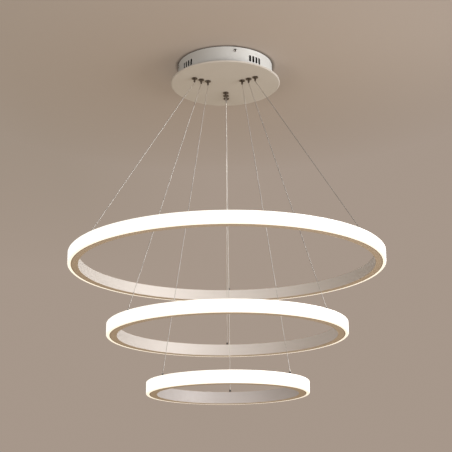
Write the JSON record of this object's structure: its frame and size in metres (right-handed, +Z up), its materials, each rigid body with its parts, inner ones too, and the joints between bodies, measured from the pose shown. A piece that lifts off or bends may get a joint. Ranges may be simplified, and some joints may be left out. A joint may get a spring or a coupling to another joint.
{
  "type": "led ring chandelier",
  "caption": "Ceiling canopy with graded LED light rings hung level below it, one under another, on thin wires from cable grippers.",
  "frame": {"origin": "centre of the ceiling bracket, on the face that lies against the ceiling", "axes": "+Z up, out of the ceiling face; -Y is the side the picture is taken from"},
  "size_m": [0.7999, 0.8, 0.874],
  "materials": {
    "canopy_white": "satin powder coat",
    "bracket_black": "black coated steel",
    "zinc_steel": "zinc plated",
    "screw_steel": "nickel plated",
    "gripper_nickel": "dark nickel",
    "wire_steel": "fine twisted strands",
    "channel_aluminium": "satin anodised",
    "opal_diffuser": "opal, lit from inside",
    "led_strip": "phosphor coated strip",
    "anchor_dark": "dark nickel",
    "driver_case": "moulded",
    "terminal_plastic": "moulded nylon",
    "brass": "plain",
    "lead_sheath": "flexible sheath",
    "foam": "adhesive foam"
  },
  "bodies": {
    "canopy": {"ceiling_bracket": "bracket_black", "canopy_drum": "canopy_white", "canopy_plate": "canopy_white", "side_screws": "screw_steel", "plate_studs": "screw_steel", "stud_nuts": "screw_steel", "gripper_barrels": "gripper_nickel", "gripper_caps": "gripper_nickel", "gripper_nuts": "screw_steel", "driver_pads": "foam", "terminal_block": "terminal_plastic", "earth_screw": "brass", "mains_leads": "lead_sheath", "driver_large": "driver_case", "wire_tails_large": "wire_steel", "wire_large_a": "wire_steel", "wire_large_b": "wire_steel", "wire_large_c": "wire_steel", "driver_medium": "driver_case", "wire_tails_medium": "wire_steel", "wire_medium_a": "wire_steel", "wire_medium_b": "wire_steel", "wire_medium_c": "wire_steel", "driver_small": "driver_case", "wire_tails_small": "wire_steel", "wire_small_a": "wire_steel", "wire_small_b": "wire_steel", "wire_small_c": "wire_steel"},
    "ring_large": {"channel_large": "channel_aluminium", "diffuser_large": "opal_diffuser", "led_strip_large": "led_strip", "joiner_large": "zinc_steel", "grub_screws_large": "screw_steel", "anchors_large": "anchor_dark"},
    "ring_medium": {"channel_medium": "channel_aluminium", "diffuser_medium": "opal_diffuser", "led_strip_medium": "led_strip", "joiner_medium": "zinc_steel", "grub_screws_medium": "screw_steel", "anchors_medium": "anchor_dark"},
    "ring_small": {"channel_small": "channel_aluminium", "diffuser_small": "opal_diffuser", "led_strip_small": "led_strip", "joiner_small": "zinc_steel", "grub_screws_small": "screw_steel", "anchors_small": "anchor_dark"},
    "nose_large_a": {"gripper_nose_large_a": "gripper_nickel"},
    "nose_large_b": {"gripper_nose_large_b": "gripper_nickel"},
    "nose_large_c": {"gripper_nose_large_c": "gripper_nickel"},
    "nose_medium_a": {"gripper_nose_medium_a": "gripper_nickel"},
    "nose_medium_b": {"gripper_nose_medium_b": "gripper_nickel"},
    "nose_medium_c": {"gripper_nose_medium_c": "gripper_nickel"},
    "nose_small_a": {"gripper_nose_small_a": "gripper_nickel"},
    "nose_small_b": {"gripper_nose_small_b": "gripper_nickel"},
    "nose_small_c": {"gripper_nose_small_c": "gripper_nickel"}
  },
  "joints": [
    {"name": "ring_large_height", "type": "slide", "parent": "canopy", "child": "ring_large", "axis": [0, 0, 1], "range_m": [0, 0.33], "deforming": ["wire_large_a", "wire_large_b", "wire_large_c"]},
    {"name": "ring_medium_height", "type": "slide", "parent": "canopy", "child": "ring_medium", "axis": [0, 0, 1], "range_m": [0, 0.29], "deforming": ["wire_medium_a", "wire_medium_b", "wire_medium_c"]},
    {"name": "ring_small_height", "type": "slide", "parent": "canopy", "child": "ring_small", "axis": [0, 0, 1], "range_m": [0, 0.37], "deforming": ["wire_small_a", "wire_small_b", "wire_small_c"]},
    {"name": "nose_large_a_press", "type": "slide", "parent": "canopy", "child": "nose_large_a", "axis": [0, 0, 1], "range_m": [0, 0.002], "stiffness_N_per_m": 400, "springref_m": -0.004},
    {"name": "nose_large_b_press", "type": "slide", "parent": "canopy", "child": "nose_large_b", "axis": [0, 0, 1], "range_m": [0, 0.002], "stiffness_N_per_m": 400, "springref_m": -0.004},
    {"name": "nose_large_c_press", "type": "slide", "parent": "canopy", "child": "nose_large_c", "axis": [0, 0, 1], "range_m": [0, 0.002], "stiffness_N_per_m": 400, "springref_m": -0.004},
    {"name": "nose_medium_a_press", "type": "slide", "parent": "canopy", "child": "nose_medium_a", "axis": [0, 0, 1], "range_m": [0, 0.002], "stiffness_N_per_m": 400, "springref_m": -0.004},
    {"name": "nose_medium_b_press", "type": "slide", "parent": "canopy", "child": "nose_medium_b", "axis": [0, 0, 1], "range_m": [0, 0.002], "stiffness_N_per_m": 400, "springref_m": -0.004},
    {"name": "nose_medium_c_press", "type": "slide", "parent": "canopy", "child": "nose_medium_c", "axis": [0, 0, 1], "range_m": [0, 0.002], "stiffness_N_per_m": 400, "springref_m": -0.004},
    {"name": "nose_small_a_press", "type": "slide", "parent": "canopy", "child": "nose_small_a", "axis": [0, 0, 1], "range_m": [0, 0.002], "stiffness_N_per_m": 400, "springref_m": -0.004},
    {"name": "nose_small_b_press", "type": "slide", "parent": "canopy", "child": "nose_small_b", "axis": [0, 0, 1], "range_m": [0, 0.002], "stiffness_N_per_m": 400, "springref_m": -0.004},
    {"name": "nose_small_c_press", "type": "slide", "parent": "canopy", "child": "nose_small_c", "axis": [0, 0, 1], "range_m": [0, 0.002], "stiffness_N_per_m": 400, "springref_m": -0.004}
  ]
}
